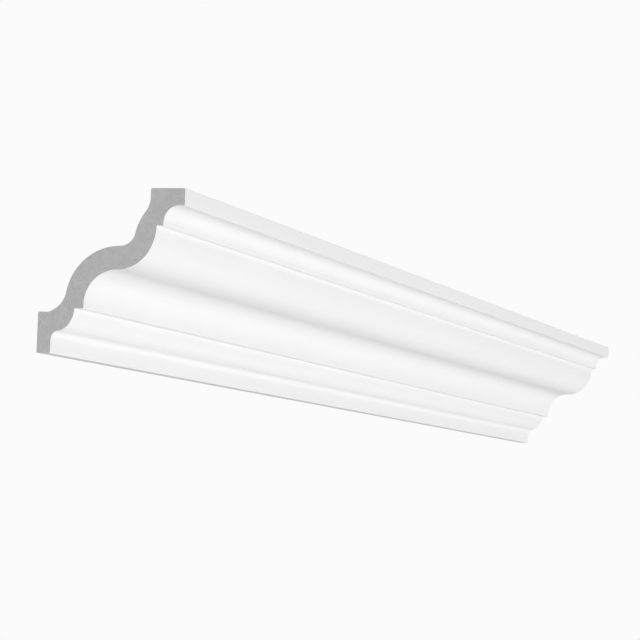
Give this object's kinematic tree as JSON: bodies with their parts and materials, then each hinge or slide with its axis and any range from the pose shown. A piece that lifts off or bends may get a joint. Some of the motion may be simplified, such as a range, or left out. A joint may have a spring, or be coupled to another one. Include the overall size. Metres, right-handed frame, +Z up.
{
  "type": "cornice moulding length",
  "caption": "Straight length of thin-walled cornice moulding with a classical stepped face, open behind, glued into the corner between a wall and a ceiling.",
  "frame": {"origin": "middle of the flat strip that is glued to the wall, on the wall's surface", "axes": "+X out from the wall into the room, +Y along the length, +Z up towards the ceiling"},
  "size_m": [0.068, 1, 0.075],
  "materials": {
    "white_primer": "smooth satin white primer over rigid moulded foam, on the face, the back and the glued strips; the sawn ends show the bare grey foam"
  },
  "bodies": {
    "root": {"cornice_moulding": "white_primer"}
  },
  "joints": []
}
